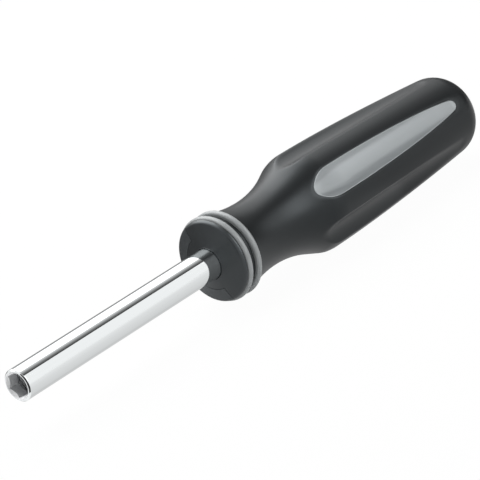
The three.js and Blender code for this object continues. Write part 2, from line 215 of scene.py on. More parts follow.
def ridge_line():
    """Outline of the handle over its ridges, from the collar to the flat of the butt."""
    front_angle = math.asin((NECK - GRIP_START) / NECK_FRONT_RADIUS)
    down = -math.pi / 2
    neck_front = arc(
        NECK,
        NECK_RADIUS + NECK_FRONT_RADIUS,
        NECK_FRONT_RADIUS,
        down - front_angle,
        down,
        NECK_FRONT_STEPS,
    )
    neck_rear = arc(
        NECK,
        NECK_RADIUS + NECK_REAR_RADIUS,
        NECK_REAR_RADIUS,
        down,
        -SHOULDER_ANGLE,
        NECK_REAR_STEPS,
    )
    shoulder = arc(
        BELLY,
        BELLY_RADIUS - SHOULDER_RADIUS,
        SHOULDER_RADIUS,
        math.pi - SHOULDER_ANGLE,
        math.pi / 2,
        SHOULDER_STEPS,
    )
    run = BUTT_START - BELLY
    rear_control = BUTT_RADIUS + run * BACK_FULLNESS_REAR * math.tan(BUTT_TAPER)
    controls = np.array(
        [
            (BELLY, BELLY_RADIUS),
            (BELLY + run * BACK_FULLNESS_FRONT, BELLY_RADIUS),
            (BUTT_START - run * BACK_FULLNESS_REAR, rear_control),
            (BUTT_START, BUTT_RADIUS),
        ]
    )
    share = np.linspace(0, 1, BACK_STEPS + 1)[:, None]
    back = (
        (1 - share) ** 3 * controls[0]
        + 3 * (1 - share) ** 2 * share * controls[1]
        + 3 * (1 - share) * share**2 * controls[2]
        + share**3 * controls[3]
    )
    butt = arc(
        BUTT_START - BUTT_ROUNDING * math.sin(BUTT_TAPER),
        BUTT_RADIUS - BUTT_ROUNDING * math.cos(BUTT_TAPER),
        BUTT_ROUNDING,
        math.pi / 2 - BUTT_TAPER,
        0,
        BUTT_STEPS,
    )
    return np.vstack([neck_front, neck_rear[1:], shoulder[1:], back[1:], butt[1:]])


RIDGE = ridge_line()


def ridge_radius(x):
    return np.interp(x, RIDGE[:, 0], RIDGE[:, 1])


FLOOR_AT_BELLY = BELLY_RADIUS - FLUTE_DEPTH
FLOOR_AT_END = float(ridge_radius(FLUTE_END)) - FLUTE_REAR_DEPTH
FLOOR_SLOPE = (FLOOR_AT_END - FLOOR_AT_BELLY) / (FLUTE_END - BELLY)


def flute_centre(x):
    """Distance from the tool's axis to the axis of a flute's round cut."""
    return FLOOR_AT_BELLY + FLOOR_SLOPE * (x - BELLY) + FLUTE_RADIUS


def flute_cut_radius(x):
    """Radius of a flute's round cut, which closes on a ball at the rear."""
    past = np.clip(x - FLUTE_END, 0, FLUTE_RADIUS)
    return np.sqrt(FLUTE_RADIUS**2 - past**2)


def flute_edge_angle(x, ridge):
    """Half of the angle that a flute takes up, 0 where the cut clears the ridge line."""
    centre = flute_centre(x)
    cosine = (ridge**2 + centre**2 - flute_cut_radius(x) ** 2) / (2 * ridge * centre)
    return np.arccos(np.clip(cosine, -1, 1))


def core_line(grow):
    """Outside of the hard core behind the collar, grown all round by a fit."""
    rear = FLOOR_AT_END - FLUTE_WALL
    return [
        (GRIP_START + CORE_SEAT_OVERLAP, CORE_SEAT_RADIUS + grow, 0),
        (NECK, NECK_RADIUS - NECK_WALL + grow, 0),
        (BELLY, FLOOR_AT_BELLY - FLUTE_WALL + grow, 0),
        (CORE_END - CORE_END_CHAMFER, rear + grow, 0),
        (CORE_END + grow, rear - CORE_END_CHAMFER + grow, 0),
    ]


# Meshes
def ring_of(x, radius, angles):
    """One ring of points round the tool's axis."""
    radius = np.broadcast_to(radius, angles.shape)
    return np.column_stack(
        [
            np.broadcast_to(x, angles.shape),
            radius * np.sin(angles),
            AXIS_HEIGHT + radius * np.cos(angles),
        ]
    )


def round_angles(count=ROUND_COLUMNS):
    return np.linspace(0, 2 * math.pi, count, endpoint=False)


def mesh_piece(name, points, faces, sharp_angle=PLAIN_SHARP_ANGLE):
    """An object from points and faces, smooth apart from its sharp edges."""
    mesh = bpy.data.meshes.new(name)
    mesh.from_pydata(np.asarray(points).tolist(), [], faces)
    work = bmesh.new()
    work.from_mesh(mesh)
    bmesh.ops.remove_doubles(work, verts=work.verts, dist=MERGE_DISTANCE)
    bmesh.ops.dissolve_degenerate(work, edges=work.edges, dist=LEAST_EDGE)
    bmesh.ops.recalc_face_normals(work, faces=work.faces)
    work.to_mesh(mesh)
    work.free()
    mesh.shade_smooth()
    mesh.set_sharp_from_angle(angle=math.radians(sharp_angle))
    piece = bpy.data.objects.new(name, mesh)
    bpy.context.scene.collection.objects.link(piece)
    return piece


def loft(rings, closed=False):
    """Points and faces of a skin through rings. It closes on itself, or on a cap at both ends."""
    count = len(rings[0])
    points = [np.vstack(rings)]
    faces = []
    pairs = [(i, i + 1) for i in range(len(rings) - 1)]
    if closed:
        pairs.append((len(rings) - 1, 0))
    for near, far in pairs:
        for k in range(count):
            following = (k + 1) % count
            faces.append(
                (near * count + k, near * count + following, far * count + following, far * count + k)
            )
    if not closed:
        for end in (0, len(rings) - 1):
            pole = len(rings) * count + len(points) - 1
            points.append(rings[end].mean(axis=0)[None, :])
            for k in range(count):
                faces.append((end * count + k, end * count + (k + 1) % count, pole))
    return np.vstack(points), faces


def joined(first, second):
    """Two skins as one set of points and faces."""
    shift = len(first[0])
    moved = [tuple(corner + shift for corner in face) for face in second[1]]
    return np.vstack([first[0], second[0]]), first[1] + moved


def turned(name, line):
    """A round piece turned from a closed line of (x, radius) points."""
    angles = round_angles()
    return mesh_piece(name, *loft([ring_of(x, radius, angles) for x, radius in line], closed=True))


def even_normals(piece):
    """Keeps flat faces flat in the shading next to their rounded edges."""
    modifier = piece.modifiers.new("even_normals", "WEIGHTED_NORMAL")
    modifier.keep_sharp = True


def stand_for(piece, node, material):
    """Puts a finished piece in the place of its node."""
    piece.data.materials.append(material)
    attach(piece, "root")
    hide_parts(node)


# Shader groups shared by the finishes
GRAIN_DETAIL = 2
CLOUD_DETAIL = 3
LINE_DETAIL = 3


def new_group(name, inputs, outputs):
    group = bpy.data.node_groups.new(name, "ShaderNodeTree")
    for label, value in inputs.items():
        socket = group.interface.new_socket(label, in_out="INPUT", socket_type="NodeSocketFloat")
        socket.default_value = value
    for label in outputs:
        group.interface.new_socket(label, in_out="OUTPUT", socket_type="NodeSocketFloat")
    return group, group.nodes.new("NodeGroupInput"), group.nodes.new("NodeGroupOutput")


def noise(tree, vector, detail):
    node = tree.nodes.new("ShaderNodeTexNoise")
    node.inputs["Detail"].default_value = detail
    tree.links.new(vector, node.inputs["Vector"])
    return node


def math_node(tree, operation, first, second):
    node = tree.nodes.new("ShaderNodeMath")
    node.operation = operation
    for socket, value in zip(node.inputs, (first, second)):
        if isinstance(value, (int, float)):
            socket.default_value = value
        else:
            tree.links.new(value, socket)
    return node.outputs["Value"]


def spread_about(tree, value, middle, spread):
    """middle + (value - 0.5) * spread"""
    offset = math_node(tree, "SUBTRACT", value, 0.5)
    return math_node(tree, "ADD", math_node(tree, "MULTIPLY", offset, spread), middle)


def moulded_grain_group():
    """Fine spark-eroded grain of a mould, with faint clouds of tone."""
    inputs = {
        "Grain Scale": 5000.0,
        "Cloud Scale": 60.0,
        "Tone Spread": 0.2,
        "Roughness": 0.5,
        "Roughness Spread": 0.15,
    }
    group, given, result = new_group("moulded_grain", inputs, ("Tone", "Roughness", "Height"))
    place = group.nodes.new("ShaderNodeTexCoord").outputs["Object"]
    grain = noise(group, place, GRAIN_DETAIL)
    group.links.new(given.outputs["Grain Scale"], grain.inputs["Scale"])
    cloud = noise(group, place, CLOUD_DETAIL)
    group.links.new(given.outputs["Cloud Scale"], cloud.inputs["Scale"])
    tone = spread_about(group, cloud.outputs["Fac"], 1.0, given.outputs["Tone Spread"])
    rough = spread_about(
        group, grain.outputs["Fac"], given.outputs["Roughness"], given.outputs["Roughness Spread"]
    )
    group.links.new(tone, result.inputs["Tone"])
    group.links.new(rough, result.inputs["Roughness"])
    group.links.new(grain.outputs["Fac"], result.inputs["Height"])
    return group


def drawn_lines_group():
    """Faint lines that drawing and polishing leave along a bar."""
    inputs = {
        "Line Scale": 3000.0,
        "Line Stretch": 0.01,
        "Tone Spread": 0.05,
        "Roughness": 0.1,
        "Roughness Spread": 0.05,
    }
    group, given, result = new_group("drawn_lines", inputs, ("Tone", "Roughness", "Height"))
    place = group.nodes.new("ShaderNodeTexCoord").outputs["Object"]
    parts = group.nodes.new("ShaderNodeSeparateXYZ")
    group.links.new(place, parts.inputs["Vector"])
    stretched = group.nodes.new("ShaderNodeCombineXYZ")
    along = math_node(group, "MULTIPLY", parts.outputs["X"], given.outputs["Line Stretch"])
    group.links.new(along, stretched.inputs["X"])
    group.links.new(parts.outputs["Y"], stretched.inputs["Y"])
    group.links.new(parts.outputs["Z"], stretched.inputs["Z"])
    lines = noise(group, stretched.outputs["Vector"], LINE_DETAIL)
    group.links.new(given.outputs["Line Scale"], lines.inputs["Scale"])
    tone = spread_about(group, lines.outputs["Fac"], 1.0, given.outputs["Tone Spread"])
    rough = spread_about(
        group, lines.outputs["Fac"], given.outputs["Roughness"], given.outputs["Roughness Spread"]
    )
    group.links.new(tone, result.inputs["Tone"])
    group.links.new(rough, result.inputs["Roughness"])
    group.links.new(lines.outputs["Fac"], result.inputs["Height"])
    return group


MOULDED_GRAIN = moulded_grain_group()
DRAWN_LINES = drawn_lines_group()


def surface_finish(name, color, group, values, bump_depth, constants):
    """A material whose colour, roughness and relief come from one of the shared groups."""
    material = bpy.data.materials.new(name)
    material.use_nodes = True
    tree = material.node_tree
    shader = tree.nodes["Principled BSDF"]
    effect = tree.nodes.new("ShaderNodeGroup")
    effect.node_tree = group
    for label, value in values.items():
        effect.inputs[label].default_value = value
    tint = tree.nodes.new("ShaderNodeMix")
    tint.data_type = "RGBA"
    tint.blend_type = "MULTIPLY"
    tint.inputs["Factor"].default_value = 1.0
    tint.inputs["A"].default_value = (*color, 1)
    tree.links.new(effect.outputs["Tone"], tint.inputs["B"])
    tree.links.new(tint.outputs["Result"], shader.inputs["Base Color"])
    tree.links.new(effect.outputs["Roughness"], shader.inputs["Roughness"])
    bump = tree.nodes.new("ShaderNodeBump")
    bump.inputs["Distance"].default_value = bump_depth
    tree.links.new(effect.outputs["Height"], bump.inputs["Height"])
    tree.links.new(bump.outputs["Normal"], shader.inputs["Normal"])
    for label, value in constants.items():
        shader.inputs[label].default_value = value
    return material


# Depth of the relief on each finish
CHROME_RELIEF = 0.0005 * MM
STEEL_RELIEF = 0.004 * MM
BLACK_GRAIN_RELIEF = 0.003 * MM
GREY_GRAIN_RELIEF = 0.0015 * MM

# Cool shine that all the black pieces share
COOL_SHINE = (0.9, 0.98, 1.02, 1)


def chromed_steel():
    values = {"Line Scale": 2500.0, "Tone Spread": 0.04, "Roughness": 0.035, "Roughness Spread": 0.03}
    color = (0.85, 0.875, 0.88)
    return surface_finish("chromed_steel", color, DRAWN_LINES, values, CHROME_RELIEF, {"Metallic": 1.0})


def satin_steel(name, color, metallic=1.0):
    values = {"Line Scale": 4000.0, "Line Stretch": 1.0, "Tone Spread": 0.3, "Roughness": 0.45}
    return surface_finish(name, color, DRAWN_LINES, values, STEEL_RELIEF, {"Metallic": metallic})


def soft_black_rubber(name, color, specular):
    values = {"Grain Scale": 6500.0, "Tone Spread": 0.25, "Roughness": 0.36, "Roughness Spread": 0.1}
    constants = {"Specular IOR Level": specular, "Specular Tint": COOL_SHINE}
    return surface_finish(name, color, MOULDED_GRAIN, values, BLACK_GRAIN_RELIEF, constants)


def black_core_plastic():
    values = {"Grain Scale": 5000.0, "Tone Spread": 0.25, "Roughness": 0.42, "Roughness Spread": 0.1}
    constants = {"Specular IOR Level": 0.8, "Specular Tint": COOL_SHINE}
    color = (0.028, 0.0305, 0.0325)
    return surface_finish("black_core_plastic", color, MOULDED_GRAIN, values, BLACK_GRAIN_RELIEF, constants)


def grey_plastic(name, color, roughness, metallic):
    values = {"Grain Scale": 7000.0, "Tone Spread": 0.08, "Roughness": roughness, "Roughness Spread": 0.06}
    return surface_finish(name, color, MOULDED_GRAIN, values, GREY_GRAIN_RELIEF, {"Metallic": metallic})


CHROME = chromed_steel()
SOCKET_STEEL = satin_steel("socket_steel", (0.7, 0.71, 0.72), metallic=0.2)
# The countersunk mouth: the socket's steel painted near white and less metallic, a painted highlight
# standing in for its bright reflection.
COUNTERSINK_PAINTED_HIGHLIGHT = satin_steel("countersink_painted_highlight_steel", (0.95, 0.96, 0.97), metallic=0.1)
GRIP_RUBBER = soft_black_rubber("soft_black_rubber", (0.0047, 0.0053, 0.0058), specular=0.41)
# The nose cap's rubber is the grip's rubber painted about twice as light: painted light on the nose.
CAP_RUBBER_PAINTED_LIGHT = soft_black_rubber("nose_cap_rubber_painted_light", (0.0095, 0.0105, 0.0114), specular=0.78)
CORE_PLASTIC = black_core_plastic()
RING_GREY = grey_plastic("ring_grey", (0.344, 0.36, 0.364), roughness=0.42, metallic=0.12)
INLAY_GREY = grey_plastic("inlay_grey", (0.325, 0.348, 0.358), roughness=0.2, metallic=0.3)


# Shank
def hex_radius(angles):
    """Distance from the axis to the wall of the hexagon socket."""
    from_flat = np.mod(angles - HEX_CORNER_ANGLE, math.pi / 3) - math.pi / 6
    return HEX_ACROSS_FLATS / 2 / np.cos(from_flat)


def wing_radius(angles):
    """Outline of the bar with its two wings, which point to +Y and -Y."""
    from_wing = np.abs(np.mod(angles, math.pi) - math.pi / 2)
    side = WING_THICKNESS / 2 / np.maximum(np.sin(from_wing), LEAST_SINE)
    end = WING_REACH / np.cos(np.minimum(from_wing, WIDEST_WING_ANGLE))
    return np.maximum(np.minimum(end, side), SHANK_RADIUS)


def shank_angles():
    flats = HEX_CORNER_ANGLE + round_angles(6 * HEX_FLAT_COLUMNS)
    top = math.atan2(WING_THICKNESS / 2, WING_REACH)
    foot = math.asin(WING_THICKNESS / 2 / SHANK_RADIUS)
    wings = [side + turn for side in (math.pi / 2, 3 * math.pi / 2) for turn in (-foot, -top, top, foot)]
    return np.sort(np.mod(np.concatenate([flats, wings]), 2 * math.pi))


def finish_socket(mesh):
    """Plain steel on the socket's walls; its countersunk mouth gets the same steel painted near white, a
    painted highlight for its bright reflection.
    """
    mesh.materials.append(SOCKET_STEEL)
    mesh.materials.append(COUNTERSINK_PAINTED_HIGHLIGHT)
    socket_index = mesh.materials.find(SOCKET_STEEL.name)
    countersink_highlight_index = mesh.materials.find(COUNTERSINK_PAINTED_HIGHLIGHT.name)
    for face in mesh.polygons:
        x, y, z = face.center
        radius = math.hypot(y, z - AXIS_HEIGHT)
        if radius < COUNTERSINK_RADIUS and x < MAGNET_HIGH.x + POCKET_MARGIN:
            # Faces of the countersunk cone take the painted highlight.
            past_cone = radius + x - MOUTH > COUNTERSINK_RADIUS + COUNTERSINK_LIP
            face.material_index = socket_index if past_cone else countersink_highlight_index


def make_shank():
    angles = shank_angles()
    hexagon = hex_radius(angles)
    wing_start = BELLY - WING_LENGTH / 2
    wing_end = BELLY + WING_LENGTH / 2
    groove_start = RING_LOW.x - POCKET_FIT
    groove_end = RING_HIGH.x + POCKET_FIT
    groove_radius = RING_HIGH.y + POCKET_FIT
    pocket_radius = MAGNET_HIGH.y + POCKET_FIT
    tip = rounded_line(
        [
            (wing_start, SHANK_RADIUS, 0),
            (MOUTH + TIP_CHAMFER, SHANK_RADIUS, TIP_ROUNDING),
            (MOUTH, SHANK_RADIUS - TIP_CHAMFER, TIP_ROUNDING),
            (MOUTH, COUNTERSINK_RADIUS, MOUTH_ROUNDING),
            (MOUTH + COUNTERSINK_LIP, COUNTERSINK_RADIUS - COUNTERSINK_LIP, 0),
        ]
    )
    rings = [
        ring_of(TAIL_END, SHANK_RADIUS - TAIL_CHAMFER, angles),
        ring_of(TAIL_END - TAIL_CHAMFER, SHANK_RADIUS, angles),
        ring_of(wing_end, SHANK_RADIUS, angles),
        ring_of(wing_end, wing_radius(angles), angles),
        ring_of(wing_start, wing_radius(angles), angles),
    ]
    rings += [ring_of(x, radius, angles) for x, radius in tip]
    rings += [
        ring_of(MOUTH + COUNTERSINK_RADIUS - hexagon, hexagon, angles),
        ring_of(groove_start, hexagon, angles),
        ring_of(groove_start, groove_radius, angles),
        ring_of(groove_end, groove_radius, angles),
        ring_of(groove_end, hexagon, angles),
        ring_of(MAGNET_LOW.x, hexagon, angles),
        ring_of(MAGNET_LOW.x, pocket_radius, angles),
        ring_of(MAGNET_HIGH.x + POCKET_FIT, pocket_radius, angles),
    ]
    shank = mesh_piece("shank", *loft(rings), sharp_angle=SHANK_SHARP_ANGLE)
    even_normals(shank)
    stand_for(shank, "bit_holder_shank", CHROME)
    finish_socket(shank.data)


# Nose: the core's front crescent in the soft cap
def nose_front(inner):
    """Front line of the nose from a radius outwards: a cone that runs into the rounded edge."""
    edge_radius = CAP_RADIUS - CAP_ROUNDING
    edge_place = CAP_BACK - CAP_BACK_ROUNDING
    rise = edge_place - NOSE
    run = edge_radius - SHANK_RADIUS
    cone = math.atan2(rise, run) - math.asin(CAP_ROUNDING / math.hypot(rise, run))
    edge = arc(edge_place, edge_radius, CAP_ROUNDING, math.pi - cone, math.pi / 2, FILLET_STEPS * 2)
    back_radius = CAP_RADIUS - CAP_BACK_ROUNDING
    back = arc(edge_place, back_radius, CAP_BACK_ROUNDING, math.pi / 2, 0, FILLET_STEPS)
    start = edge[0] - (edge[0, 1] - inner) * np.array([math.tan(cone), 1])
    return np.vstack([start, edge, back[1:]])


def crescent_loops():
    """Sections of the crescent from one end to the other."""
    inner = CRESCENT_RADIUS + CRESCENT_GAP
    x, radius = np.vstack([nose_front(inner), (CAP_BACK, inner)]).T
    start = CRESCENT_START + CRESCENT_GAP / radius
    end = CRESCENT_END - CRESCENT_GAP / radius
    shares = np.linspace(0, 1, CRESCENT_COLUMNS)
    return [ring_of(x, radius, start + (end - start) * share) for share in shares]


def make_core():
    bore = SHANK_RADIUS + SHANK_FIT
    angles = shank_angles()
    pocket = np.maximum(bore, wing_radius(angles) + SHANK_FIT * (wing_radius(angles) > SHANK_RADIUS))
    pocket_start = BELLY - WING_LENGTH / 2 - SHANK_FIT
    pocket_end = BELLY + WING_LENGTH / 2 + SHANK_FIT
    rings = [
        ring_of(TAIL_END + SHANK_FIT, bore, angles),
        ring_of(pocket_end, bore, angles),
        ring_of(pocket_end, pocket, angles),
        ring_of(pocket_start, pocket, angles),
        ring_of(pocket_start, bore, angles),
        ring_of(CORE_FRONT, bore, angles),
        ring_of(CORE_FRONT, CORE_SEAT_RADIUS, angles),
    ]
    rings += [ring_of(x, radius, angles) for x, radius, _ in core_line(0)]
    core = mesh_piece("core", *joined(loft(rings), loft(crescent_loops())))
    even_normals(core)
    stand_for(core, "handle_core", CORE_PLASTIC)


def make_nose_cap():
    back = CORE_FRONT - MOULD_FIT
    seat = CORE_SEAT_RADIUS + MOULD_FIT
    mouth = nose_front(BORE_RADIUS)
    inner = rounded_line([(back, BORE_RADIUS, 0), (*mouth[0], BORE_ROUNDING), (*mouth[1], 0)])[:-1]
    outer = nose_front(CRESCENT_RADIUS)
    wide = np.vstack([inner, outer, (CAP_BACK, seat), (back, seat), (back, CRESCENT_RADIUS)])
    narrow = wide.copy()
    narrow[len(inner):-3] = outer[0]
    narrow[-3:] = (back, CRESCENT_RADIUS)
    whole = np.linspace(CRESCENT_END, CRESCENT_START + 2 * math.pi, CAP_COLUMNS)
    open_part = np.linspace(CRESCENT_START, CRESCENT_END, CRESCENT_COLUMNS)
    rings = []
    for far, near in zip(wide, narrow):
        rings.append(np.vstack([ring_of(*far, whole), ring_of(*near, open_part)]))
    cap = mesh_piece("nose_cap_skin", *loft(rings, closed=True))
    even_normals(cap)
    stand_for(cap, "nose_cap", CAP_RUBBER_PAINTED_LIGHT)


# Soft grip
FLUTE_SHARES = np.array([0, 0.12, 0.24, 0.36, 0.48, 0.59, 0.69, 0.77, 0.84, 0.9, 0.94, 0.97, 0.99])
RIDGE_SHARES = np.array([0, 0.02, 0.05, 0.09, 0.15, 0.23, 0.34, 0.47, 0.6, 0.73, 0.87, 1])
LEAST_GUIDE_ANGLE = math.radians(5)


def soft_min(first, second, blend):
    """The lesser of two surfaces, with the edge where they cross rounded off."""
    share = np.clip(0.5 + 0.5 * (second - first) / blend, 0, 1)
    return second * (1 - share) + first * share - blend * share * (1 - share)


def grip_rings():
    """Rings of the grip's outside. Their columns follow the edges of the flutes."""
    x = RIDGE[:, 0][:, None]
    ridge = RIDGE[:, 1][:, None]
    guide = np.maximum(flute_edge_angle(x, ridge), LEAST_GUIDE_ANGLE)
    half = np.hstack([guide * FLUTE_SHARES, guide + (SECTOR / 2 - guide) * RIDGE_SHARES])
    centre = flute_centre(x)
    under = flute_cut_radius(x) ** 2 - (centre * np.sin(half)) ** 2
    flute = np.where(under > 0, centre * np.cos(half) - np.sqrt(np.maximum(under, 0)), 2 * ridge)
    radius = soft_min(np.broadcast_to(ridge, half.shape), flute, FLUTE_EDGE_BLEND)
    turn = np.hstack([half, SECTOR - half[:, -2:0:-1]])
    size = np.hstack([radius, radius[:, -2:0:-1]])
    angles = np.hstack([turn + SECTOR * k for k in range(FLUTE_COUNT)])
    sizes = np.hstack([size] * FLUTE_COUNT)
    return [ring_of(*row) for row in zip(RIDGE[:, 0], sizes, angles)], angles[0]


def flute_half_width(x):
    ridge = ridge_radius(x)
    return ridge * np.sin(flute_edge_angle(x, ridge))


def flute_outline(edge):
    """Stations and half widths of a flute's outline, drawn in by an edge."""
    stations = np.linspace(NECK, BUTT_START, FLUTE_STATIONS)
    wide = stations[flute_half_width(stations) > edge]
    share = (1 - np.cos(np.linspace(0, math.pi, INLAY_ROWS + 1))) / 2
    x = wide[0] + (wide[-1] - wide[0]) * share
    return x, np.maximum(flute_half_width(x) - edge, 0)


def turned_up(points, angle):
    """Points from a flute's own frame (x, across, out from the axis) to their place on the tool."""
    x, across, out = points.T
    return np.column_stack(
        [
            x,
            across * math.cos(angle) + out * math.sin(angle),
            AXIS_HEIGHT - across * math.sin(angle) + out * math.cos(angle),
        ]
    )


def window_cutter(angle):
    """Prism over a flute that opens the grip's window for an inlay."""
    x, width = flute_outline(WINDOW_EDGE)
    outline = np.vstack([np.column_stack([x, width]), np.column_stack([x, -width])[-2:0:-1]])
    count = len(outline)
    low = np.column_stack([outline, np.zeros(count)])
    high = np.column_stack([outline, np.full(count, FLOOR_AT_BELLY + FLUTE_RADIUS)])
    faces = [tuple(range(count)), tuple(range(2 * count - 1, count - 1, -1))]
    for k in range(count):
        following = (k + 1) % count
        faces.append((k, following, count + following, count + k))
    return mesh_piece("window_cutter", turned_up(np.vstack([low, high]), angle), faces)


def cut_away(piece, cutter):
    """Cuts one mesh out of another and removes the cutter."""
    modifier = piece.modifiers.new("cut", "BOOLEAN")
    modifier.operation = "DIFFERENCE"
    modifier.solver = "EXACT"
    modifier.object = cutter
    shown = piece.evaluated_get(bpy.context.evaluated_depsgraph_get())
    mesh = bpy.data.meshes.new_from_object(shown)
    piece.modifiers.remove(modifier)
    old = piece.data
    piece.data = mesh
    mesh.name = piece.name
    bpy.data.meshes.remove(old)
    bpy.data.objects.remove(cutter)


def make_grip():
    outside, angles = grip_rings()
    lip = rounded_line(
        [
            (GRIP_START, CORE_SEAT_RADIUS + MOULD_FIT, 0),
            (GRIP_START, RIDGE[0, 1], GRIP_LIP_ROUNDING),
            (RIDGE[1, 0], RIDGE[1, 1], 0),
        ]
    )
    cavity = core_line(MOULD_FIT)[::-1]
    rings = [ring_of(x, radius, angles) for x, radius, _ in cavity]
    rings += [ring_of(x, radius, angles) for x, radius in lip[:-1]]
    rings += outside[1:]
    grip = mesh_piece("grip", *loft(rings), sharp_angle=GRIP_SHARP_ANGLE)
    for angle in INLAY_ANGLES.values():
        cut_away(grip, window_cutter(angle))
    grip.data.shade_smooth()
    grip.data.set_sharp_from_angle(angle=math.radians(GRIP_SHARP_ANGLE))
    stand_for(grip, "soft_grip", GRIP_RUBBER)


# Grey inlays
def make_inlay(node, angle):
    x, width = flute_outline(INLAY_EDGE)
    share = np.sin(np.linspace(-math.pi / 2, math.pi / 2, INLAY_COLUMNS))
    across = width[:, None] * share
    along = np.broadcast_to(x[:, None], across.shape)
    outline = np.vstack([np.column_stack([x, width]), np.column_stack([x, -width])])
    gap = np.hypot(
        along.ravel()[:, None] - outline[:, 0],
        across.ravel()[:, None] - outline[:, 1],
    )
    inset = np.minimum(gap.min(axis=1).reshape(across.shape), INLAY_ROUNDING)
    drop = INLAY_ROUNDING - np.sqrt(INLAY_ROUNDING**2 - (INLAY_ROUNDING - inset) ** 2)
    edge = flute_centre(x) - np.sqrt(flute_cut_radius(x) ** 2 - width**2)
    run = np.clip((x - x[0]) / INLAY_CURVE_RUN, 0, 1)
    flatness = run**2 * (3 - 2 * run)
    curve = 1 / ((1 - flatness) / flute_cut_radius(x) + flatness / INLAY_CURVE)
    hollow = np.sqrt(curve[:, None] ** 2 - across**2) - np.sqrt(curve**2 - width**2)[:, None]
    top = edge[:, None] - hollow - drop
    core = np.array(core_line(MOULD_FIT))
    seat = np.interp(along, core[:, 0], core[:, 1])
    bottom = np.sqrt(np.maximum(seat**2 - across**2, 0))
    rows, columns = across.shape
    points = np.vstack(
        [
            np.column_stack([along.ravel(), across.ravel(), top.ravel()]),
            np.column_stack([along.ravel(), across.ravel(), bottom.ravel()]),
        ]
    )
    faces = []
    under = rows * columns
    for i in range(rows - 1):
        for j in range(columns - 1):
            quad = (i * columns + j, i * columns + j + 1, (i + 1) * columns + j + 1, (i + 1) * columns + j)
            faces.append(quad)
            faces.append(tuple(under + corner for corner in reversed(quad)))
        for j in (0, columns - 1):
            here, ahead = i * columns + j, (i + 1) * columns + j
            faces.append((here, ahead, under + ahead, under + here))
    name = node.replace("label_", "")
    inlay = mesh_piece(name, turned_up(points, angle), faces, sharp_angle=INLAY_SHARP_ANGLE)
    even_normals(inlay)
    stand_for(inlay, node, INLAY_GREY)


# Collar
def make_collar_ring(node):
    low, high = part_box(node)
    inner = CORE_SEAT_RADIUS + MOULD_FIT
    half = (high.x - low.x) / 2
    crown = arc(low.x + half, high.z - AXIS_HEIGHT - half, half, math.pi, 0, CROWN_STEPS)
    line = np.vstack([(low.x, inner), crown, (high.x, inner)])
    ring = turned(node + "_crown", line)
    even_normals(ring)
    stand_for(ring, node, RING_GREY)


def make_collar_band():
    inner = CORE_SEAT_RADIUS + MOULD_FIT
    outer = BAND_HIGH.z - AXIS_HEIGHT
    line = rounded_line(
        [
            (BAND_LOW.x, inner, 0),
            (BAND_LOW.x, outer, BAND_ROUNDING),
            (BAND_HIGH.x, outer, BAND_ROUNDING),
            (BAND_HIGH.x, inner, 0),
        ]
    )
    band = turned("collar_band_skin", line)
    even_normals(band)
    stand_for(band, "collar_band", GRIP_RUBBER)


INNER_STEEL_COLORS = {"bit_magnet": (0.45, 0.46, 0.47), "bit_retaining_ring": (0.35, 0.36, 0.37)}


def dress_inner_steel():
    """The magnet and the spring ring keep their own solids and get a finish."""
    for node, color in INNER_STEEL_COLORS.items():
        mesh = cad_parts[node].data
        mesh.materials.clear()
        mesh.materials.append(satin_steel(node + "_steel", color))


make_shank()
make_core()
make_grip()
for inlay_node, inlay_angle in INLAY_ANGLES.items():
    make_inlay(inlay_node, inlay_angle)
make_nose_cap()
make_collar_ring("collar_ring_front")
make_collar_ring("collar_ring_rear")
make_collar_band()
dress_inner_steel()

# Camera
CAMERA_PLACE = Vector((-0.5131, -0.5152, AXIS_HEIGHT + 0.2535))
CAMERA_AIM = Vector((0.0105, 0.0161, AXIS_HEIGHT - 0.0069))
CAMERA_ROLL = math.radians(-14.5)
CAMERA_LENS = 207.3
CAMERA_SENSOR = 36
CAMERA_CLIP_START = 0.01


def make_camera():
    lens = bpy.data.cameras.new("camera")
    lens.lens = CAMERA_LENS
    lens.sensor_width = CAMERA_SENSOR
    lens.clip_start = CAMERA_CLIP_START
    camera = bpy.data.objects.new("camera", lens)
    camera.location = CAMERA_PLACE
    aim = (CAMERA_AIM - CAMERA_PLACE).to_track_quat("-Z", "Y")
    camera.rotation_euler = (aim @ Quaternion((0, 0, 1), CAMERA_ROLL)).to_euler()
    bpy.context.scene.collection.objects.link(camera)
    bpy.context.scene.camera = camera


# Studio
WORLD_FILL = 0.2
FLOOR_HALF = 3.0
FLOOR_COLOR = (0.8, 0.8, 0.8)
FLOOR_ROUGHNESS = 0.9
FLOOR_WHITENING = 0.97
FLOOR_MIRROR_WHITENING = 0.9

# Lamps: angles round the tool's axis in degrees, distance from it and reach along it
LAMPS = {
    "top_lamp": {"angles": (0, 62), "distance": 0.6, "reach": (-0.4, 0.33), "radiance": 3.3},
    "far_lamp": {"angles": (0, 62), "distance": 0.6, "reach": (0.33, 0.95), "radiance": 1.06},
    "front_lamp": {"angles": (-80, -40), "distance": 0.8, "reach": (0.08, 0.46), "radiance": 3.4},
    "panel_lamp": {"angles": (-80, -40), "distance": 0.8, "reach": (0.7, 1.15), "radiance": 1.4},
}

# Cards along the tool, painted reflections that only mirror rays see: lines of (y, z), and tones from the
# lower line to the upper one
CARD_LIFT = 0.0005
FRONT_CARD_DISTANCE = 0.45
FRONT_CARD_ANGLES = (math.radians(-31.5), math.radians(6))
FRONT_CARD = {"reach": (-0.5, 1.2), "tones": (0.05, 0.95), "curve": 1.8}
